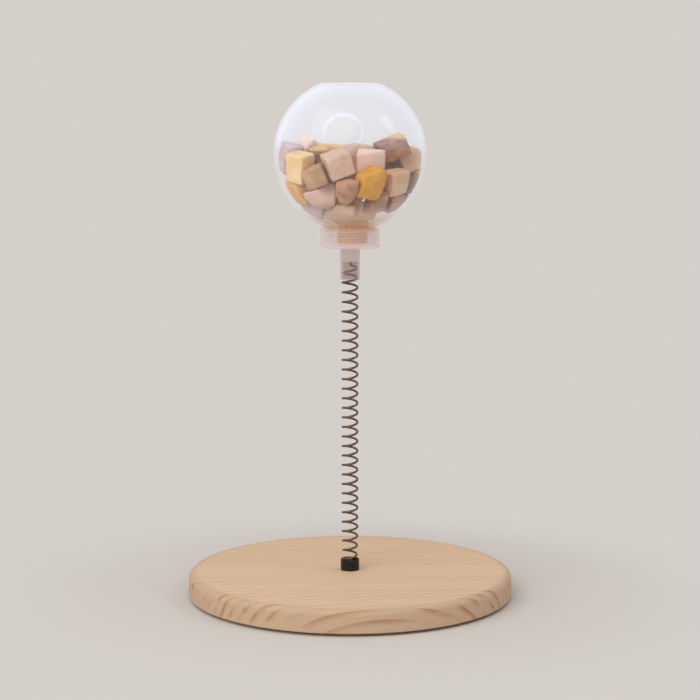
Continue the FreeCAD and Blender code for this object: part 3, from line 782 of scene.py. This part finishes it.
def clear_finish(name, veil):
    """Clear plastic with this much veil and more over the dust; it glows as painted light, the
    extra over the empty part is painted sheen, and at the rim it is partly painted reflection.
    """
    clear = Finish(name)
    height = clear.other_output(clear.node("SeparateXYZ", sockets={0: clear.place()}), "Z")
    facing = clear.node("LayerWeight", sockets={"Blend": 0.5}, output="Facing")
    mist = clear.noise(clear.place(), 26.0, 2.0, 0.5)
    empty = clear.step(height, EMPTY_FROM, EMPTY_TO)
    dust = (1 - clear.step(height, DUST_FADE, DUST_END)) * clear.step(height, DUST_LOW, DUST_FULL)
    body = clear.node("BsdfPrincipled", sockets={
        "Base Color": clear.mix(dust, (0.82, 0.87, 1.0, 1), tone(212, 182, 154)),
        "Roughness": 0.25,
        "Specular IOR Level": 1.0,
        "Coat Weight": 1.0,
        "Coat Roughness": 0.1,
        # The emission is painted light: the veil glows bluish white, and brownish where the dust
        # is.
        "Emission Color": clear.mix(dust, (0.27, 0.29, 0.35, 1), tone(90, 70, 55)),
        "Emission Strength": 1.0,
    })
    see_through = clear.node("BsdfTransparent", sockets={"Color": (0.998, 0.998, 1.0, 1)})
    # The rim's extra veil is partly the plastic seen on edge and partly a painted reflection; the
    # extra over the empty part is painted sheen.
    rim = facing**3 * (empty * 0.2 + 0.2) + facing**6 * (empty * 0.5 + 0.4)
    share = mist * 0.02 + veil + empty * 0.11 + dust * 0.3 + rim
    return clear.show(clear.node("MixShader", sockets={0: share, 1: see_through, 2: body}))


# %% Ball shell
def ball_outline():
    """The half outline of the shell about the ball's centre, up the outside and down the inside.

    The neck ends a hair above the cap's floor, so that the two surfaces don't lie in one plane.
    The outer arc stops a margin before the crown's edge, which is rounded off.
    """
    neck_low = NECK_LOW - BALL_CENTRE + NECK_GAP
    lip = (NECK_RADIUS, neck_low + LIP_HEIGHT)
    root = -math.acos(NECK_RADIUS / BALL_RADIUS)
    inner_root = -math.acos(NECK_BORE / BALL_INSIDE)
    flat_inside = FLAT_HEIGHT - BALL_WALL
    inner_crown = math.asin(flat_inside / BALL_INSIDE)
    outer_arc = arc_about_origin(BALL_RADIUS, root, CROWN_ANGLE - CROWN_MARGIN, 110)
    return np.concatenate([
        rounded([
            (NECK_BORE, neck_low + 1 * MM, 0),
            (NECK_BORE, neck_low, 0.3 * MM),
            (NECK_RADIUS, neck_low, 0.3 * MM),
            (*lip, 0),
        ]),
        straight(lip, (NECK_RADIUS, BALL_RADIUS * math.sin(root)), 64),
        outer_arc,
        rounded([
            (*outer_arc[-1], 0),
            (FLAT_RADIUS, FLAT_HEIGHT, 2.2 * MM),
            (0, FLAT_HEIGHT, 0),
        ], steps=12)[1:],
        np.array([[0, flat_inside]]),
        arc_about_origin(BALL_INSIDE, inner_crown, inner_root, 110),
    ])


shell_grid = turned(ball_outline(), 240) + np.array([0, 0, BALL_CENTRE])
ridge = thread_relief(shell_grid, NECK_RADIUS, NECK_LOW, CAP_TOP, 0.0)
ball = make_piece("clear_ball", [push_out(shell_grid, ridge)], loop_rows=True)


def tip_to_outlet(grid):
    """Turns a grid's upward axis to the outlet's direction and moves it to the ball's centre."""
    side = np.cross([0, 0, 1], OUTLET_RUN)
    side /= np.linalg.norm(side)
    up = np.cross(OUTLET_RUN, side)
    return grid @ np.array([side, up, OUTLET_RUN]) + np.array([0, 0, BALL_CENTRE])


cutter_outline = np.array([
    [0, CUTTER_LOW],
    [CUTTER_RADIUS, CUTTER_LOW],
    [CUTTER_RADIUS, CUTTER_HIGH],
    [0, CUTTER_HIGH],
])
cutter = make_piece("outlet_cutter", [tip_to_outlet(turned(cutter_outline, 96))])
cut_hole = ball.modifiers.new("outlet", "BOOLEAN")
cut_hole.operation = "DIFFERENCE"
cut_hole.solver = "EXACT"
cut_hole.object = cutter
bpy.context.view_layer.update()
worked_out = ball.evaluated_get(bpy.context.evaluated_depsgraph_get())
cut_ball = bpy.data.meshes.new_from_object(worked_out)
ball.modifiers.clear()
ball.data = cut_ball
bpy.data.objects.remove(cutter)
ball.data.set_sharp_from_angle(angle=SHARP_ANGLE)
print("clear_ball after the cut:", len(ball.data.polygons), "faces")

ring_face = math.sqrt(BALL_RADIUS**2 - OUTLET_RIM**2) + RING_RISE
ring_root = math.sqrt(BALL_INSIDE**2 - OUTLET_RIM**2)
ring_outline = rounded([
    (OUTLET_RADIUS, (ring_face + ring_root) / 2, 0),
    (OUTLET_RADIUS, ring_face, 0.3 * MM),
    (OUTLET_RIM, ring_face, 0.4 * MM),
    (OUTLET_RIM, ring_root, 0.4 * MM),
    (OUTLET_RADIUS, ring_root, 0.3 * MM),
    (OUTLET_RADIUS, (ring_face + ring_root) / 2, 0),
])
outlet_ring = make_piece("outlet_ring", [tip_to_outlet(turned(ring_outline, 128))])
ball_finish = clear_finish("clear_plastic", 0.02)
ring_finish = clear_finish("rim", 0.2)
for piece, finish in ((ball, ball_finish), (outlet_ring, ring_finish)):
    dress(piece, finish, "clear_plastic")
    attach(piece, "ball")
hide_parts("treat_ball")

# %% [markdown]
# The treats are freeze-dried chunks: cut cubes whose edges have crumbled round. Each one's solid
# in the frame is a plain block with flat faces. A flat face at distance d with direction n lets a
# ray u from the middle travel d / (n.u), and the nearest face stops it. Taking a high power mean
# in place of the nearest stops the ray a little earlier near an edge, which rounds it, and the
# piece stays inside its solid. Low waves and fibres are then taken off the surface.


# %% Treat shapes
DISTANCE_SCALE = 2000
CHUNK_ROWS, CHUNK_COLUMNS = 44, 72
EDGE_GAIN = 5
LUMP_LENGTH, CRUMB_LENGTH, FIBRE_LENGTH = 7 * MM, 2.6 * MM, 3.2 * MM
FIBRE_STRETCH = np.array([3.0, 0.35, 3.0])


def mesh_vectors(parts, label):
    """One vector for each part of a mesh, as the rows of an array."""
    vectors = np.zeros(len(parts) * 3)
    parts.foreach_get(label, vectors)
    return vectors.reshape(-1, 3)


def face_planes(node):
    """A convex node's middle, and its faces about it: unit directions and distances.

    Triangles of one face have the same direction and, to 0.005 mm, the same distance, so they
    count as one. The largest face comes first.
    """
    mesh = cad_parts[node].data
    points = mesh_vectors(mesh.vertices, "co")
    normals = mesh_vectors(mesh.polygons, "normal")
    centres = mesh_vectors(mesh.polygons, "center")
    areas = np.zeros(len(mesh.polygons))
    mesh.polygons.foreach_get("area", areas)
    middle = (points.min(axis=0) + points.max(axis=0)) / 2
    distances = ((centres - middle) * normals).sum(axis=1)
    key = np.round(np.column_stack([normals, distances * DISTANCE_SCALE]), 2)
    _, first, group = np.unique(key, axis=0, return_index=True, return_inverse=True)
    sizes = np.bincount(group.ravel(), weights=areas)
    order = np.argsort(-sizes)
    return middle, normals[first][order], distances[first][order]


def waves(points, number, length, seed):
    """A sum of sine waves of about this length, in random directions, between about -1 and 1."""
    random = np.random.default_rng(seed)
    directions = random.normal(size=(number, 3))
    directions /= np.linalg.norm(directions, axis=1, keepdims=True)
    lengths = length * random.uniform(0.7, 1.4, number)
    phases = random.uniform(0, math.tau, number)
    total = np.zeros(points.shape[:-1])
    for direction, wave, phase in zip(directions, lengths, phases):
        total += np.sin(points @ direction * math.tau / wave + phase)
    return total / math.sqrt(number)


def chunk(node, name, roundness, crumble, fibre, seed):
    """A crumbled chunk inside a node's flat faces.

    Along a direction u the surface lies at 1 / (sum of (n.u / d)^roundness)^(1 / roundness) over
    the faces that u leads towards, less a share for waves and for ridges along the fibres.
    """
    middle, normals, distances = face_planes(node)
    tilt = np.linspace(0, math.pi, CHUNK_ROWS)[:, None]
    turn = np.linspace(0, math.tau, CHUNK_COLUMNS, endpoint=False)[None]
    sides = (np.sin(tilt) * np.cos(turn), np.sin(tilt) * np.sin(turn), np.cos(tilt))
    rays = np.stack(np.broadcast_arrays(*sides), axis=-1)
    along = normals[0]
    across = normals[np.argmin(np.abs(normals @ along))]
    across = across - (across @ along) * along
    across /= np.linalg.norm(across)
    own = np.array([across, np.cross(along, across), along])
    rays = rays @ own
    push = np.maximum(rays @ normals.T, 0) / distances
    nearest = push.max(axis=-1)
    smoothed = (push**roundness).sum(axis=-1) ** (1 / roundness)
    radius = 1 / smoothed
    edge = np.clip((smoothed / nearest - 1) * EDGE_GAIN, 0, 1)
    surface = rays * radius[..., None]
    local = surface @ own.T
    lumps = waves(local, 9, LUMP_LENGTH, seed)
    crumbs = waves(local, 12, CRUMB_LENGTH, seed + 1)
    rough = lumps * 0.6 + crumbs * 0.4
    ridges = waves(local * FIBRE_STRETCH, 8, FIBRE_LENGTH, seed + 2)
    taken = crumble * (rough * 0.5 + 0.5) + fibre * np.clip(ridges * 0.5 + 0.5, 0, 1)
    surface *= (1 - np.clip(taken, 0, None) / radius)[..., None]
    attributes = {
        "edge": edge.ravel(),
        "rise": (surface[..., 2] / surface[..., 2].max()).ravel(),
        "own": (local + np.array([0.05 * seed, 0.03 * seed, 0])).reshape(-1, 3),
    }
    return make_piece(name, [surface + middle], attributes=attributes)


# %% [markdown]
# A treat's colour is uneven: pale where fat or dry surface shows, deeper in the pores, and dusted
# lighter along the worn edges. The chunks carry three attributes for this: one is 1 on the edges,
# one grows from the middle to 1 at the top, and one holds each chunk's own coordinates, so that
# the fibres of a tipped chunk are tipped too.


# %% Treat finishes
def treat_finish(name, main, deep, dusty, fibrous, crust):
    """A treat's colour: its main tone, the deep and the dusty one, and a crust on top if any."""
    treat = Finish("treat_" + name)
    own = treat.node("Attribute", {"attribute_name": "own"}, output="Vector")
    edge = treat.node("Attribute", {"attribute_name": "edge"}, output="Fac")
    cloud = treat.noise(own, 120.0, 3.0, 0.6)
    pores = treat.noise(own, 950.0, 3.0, 0.65)
    strands = treat.noise(treat.place((1500, 160, 1500), start=own), 1.0, 3.0, 0.6)
    colour = treat.mix(treat.step(cloud, 0.35, 0.7), main, deep)
    colour = treat.mix(treat.step(pores, 0.52, 0.72) * 0.3, colour, deep)
    colour = treat.mix(treat.step(strands, 0.5, 0.7) * fibrous, colour, deep)
    colour = treat.mix(edge * 0.6, colour, dusty)
    if crust:
        rise = treat.node("Attribute", {"attribute_name": "rise"}, output="Fac")
        colour = treat.mix(treat.step(rise + cloud * 0.5, 0.75, 0.95) * 0.9, colour, crust)
    relief = pores * 0.6 + strands * fibrous * 1.6
    return treat.show(treat.node("BsdfPrincipled", sockets={
        "Base Color": colour,
        "Roughness": 0.85,
        "Specular IOR Level": 0.2,
        "Normal": treat.bump(relief, 0.35 * MM, 0.6),
    }))


TREAT_TONES = {
    "cream": (tone(226, 190, 164), tone(208, 168, 138), tone(246, 228, 208)),
    "rose": (tone(232, 196, 176), tone(212, 170, 146), tone(248, 230, 216)),
    "gold": (tone(224, 166, 52), tone(204, 138, 30), tone(244, 204, 100)),
    "straw": (tone(248, 216, 166), tone(238, 198, 136), tone(252, 232, 190)),
    "amber": (tone(240, 190, 106), tone(222, 160, 72), tone(250, 214, 142)),
    "apricot": (tone(244, 176, 64), tone(226, 150, 42), tone(250, 208, 124)),
    "olive": (tone(202, 160, 118), tone(176, 132, 92), tone(228, 194, 156)),
    "tan": (tone(226, 188, 148), tone(206, 162, 118), tone(242, 216, 184)),
    "brown": (tone(206, 156, 116), tone(164, 112, 76), tone(230, 192, 156)),
    "strand": (tone(182, 122, 76), tone(110, 60, 28), tone(222, 172, 120)),
    "mauve": (tone(216, 188, 184), tone(192, 160, 154), tone(238, 218, 214)),
    "blush": (tone(250, 220, 202), tone(238, 200, 180), tone(252, 236, 224)),
}
FIBROUS = {"brown": 0.5, "strand": 0.85}
CRUSTS = {"strand": tone(236, 184, 96)}
treat_finishes = {}
for name, (main, deep, dusty) in TREAT_TONES.items():
    fibrous, crust = FIBROUS.get(name, 0.0), CRUSTS.get(name)
    treat_finishes[name] = treat_finish(name, main, deep, dusty, fibrous, crust)

# %% [markdown]
# Which chunk is which: the front ones are matched to the picture, and the ones behind take
# their kind's usual finish. Each kind's shape is its roundness, how deep its surface has crumbled
# and how deep its fibres are. A roundness of 30 leaves a crisp cube, and a lower one wears it.

# %% Treat pieces
USUAL_FINISH = {
    "chicken": "cream",
    "yolk": "straw",
    "duck": "tan",
    "beef": "brown",
    "salmon": "mauve",
}
CHOSEN_FINISH = {
    "treat_yolk_1": "gold",
    "treat_duck_1": "olive",
    "treat_chicken_2": "blush",
    "treat_beef_1": "strand",
    "treat_duck_3": "cream",
    "treat_chicken_4": "tan",
    "treat_chicken_3": "rose",
    "treat_beef_4": "strand",
    "treat_yolk_3": "amber",
    "treat_salmon_2": "blush",
    "treat_beef_5": "strand",
    "treat_yolk_4": "amber",
    "treat_yolk_5": "apricot",
}
SHAPES = {
    "chicken": (30, 0.2 * MM, 0.0),
    "yolk": (28, 0.2 * MM, 0.0),
    "duck": (22, 0.3 * MM, 0.0),
    "beef": (24, 0.25 * MM, 0.45 * MM),
    "salmon": (22, 0.3 * MM, 0.1 * MM),
}
treat_nodes = [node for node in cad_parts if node.split("_")[0] == "treat"]
treat_nodes.remove("treat_ball")
for number, node in enumerate(sorted(treat_nodes)):
    kind = node.split("_")[1]
    piece = chunk(node, "chunk" + node[len("treat"):], *SHAPES[kind], seed=number + 1)
    finish = CHOSEN_FINISH.get(node, USUAL_FINISH[kind])
    dress(piece, treat_finishes[finish], "treat_" + kind)
    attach(piece, "treats")
    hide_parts(node)

# %% [markdown]
# The object stands on a plain pale floor. Close to it the floor is an ordinary matt surface that
# takes the shadow. Further out, and in the world behind it, the camera sees one flat tone, so no
# horizon shows from any side, while the light on the object stays that of a pale studio.

# %% Floor and world
BACKGROUND = tone(212, 207, 201)
FLOOR_TONE = tone(216, 211, 205)
FLOOR_NEAR, FLOOR_FAR = 0.10, 0.22
WORLD_COLOUR, WORLD_STRENGTH = (1, 0.985, 0.965, 1), 0.55


def seen_share(finish):
    """1 for what the camera sees, straight, in a reflection or through something clear."""
    camera_ray = finish.node("LightPath", output="Is Camera Ray")
    glossy_ray = finish.other_output(camera_ray, "Is Glossy Ray")
    through_ray = finish.other_output(camera_ray, "Is Transmission Ray")
    return finish.math("MAXIMUM", finish.math("MAXIMUM", camera_ray, glossy_ray), through_ray)


def floor_finish():
    """A matt floor that turns into the flat background tone away from the object."""
    floor = Finish("floor")
    length = floor.node("VectorMath", {"operation": "LENGTH"}, {0: floor.place()}, output="Value")
    away = floor.step(length, FLOOR_NEAR, FLOOR_FAR) * seen_share(floor)
    matt = floor.node("BsdfDiffuse", sockets={"Color": FLOOR_TONE})
    flat = floor.node("Emission", sockets={"Color": BACKGROUND, "Strength": 1.0})
    return floor.show(floor.node("MixShader", sockets={0: away, 1: matt, 2: flat}))


FLOOR_RADII = (0, 0.1, 0.2, 0.4, 1, 4)
floor_outline = np.array([(radius, 0) for radius in FLOOR_RADII])
floor = make_piece("floor", [turned(floor_outline, 64)])
floor.data.materials.append(floor_finish())

sky = Finish("studio", bpy.data.worlds.new("studio"))
plain = sky.node("Background", sockets={"Color": WORLD_COLOUR, "Strength": WORLD_STRENGTH})
shown = sky.node("Background", sockets={"Color": BACKGROUND, "Strength": 1.0})
mixed = sky.node("MixShader", sockets={0: seen_share(sky), 1: plain, 2: shown})
bpy.context.scene.world = sky.show(mixed, "World")

# %% [markdown]
# Two soft lamps: a broad key from the upper left in front, which gives the base its brighter top,
# and a smaller one at the upper right, which is the soft patch of light on the ball's shoulder.


# %% Lamps
LAMP_AIM = (0, 0, 0.12)


def soft_lamp(name, direction, distance, width, height, power):
    """A rectangular lamp at a distance from the aim, facing it."""
    data = bpy.data.lights.new(name, "AREA")
    data.shape = "RECTANGLE"
    data.size, data.size_y, data.energy = width, height, power
    lamp = bpy.data.objects.new(name, data)
    run = np.array(direction) / np.linalg.norm(direction)
    lamp.location = np.array(LAMP_AIM) + run * distance
    lamp.rotation_euler = Vector(-run).to_track_quat("-Z", "Y").to_euler()
    bpy.context.scene.collection.objects.link(lamp)


soft_lamp("key", (-0.50, -0.80, 0.75), distance=1.3, width=1.5, height=1.5, power=11.6)
soft_lamp("shoulder", (0.70, -0.19, 0.70), distance=1.2, width=0.25, height=0.35, power=1.2)

bpy.context.scene.view_settings.view_transform = "Standard"
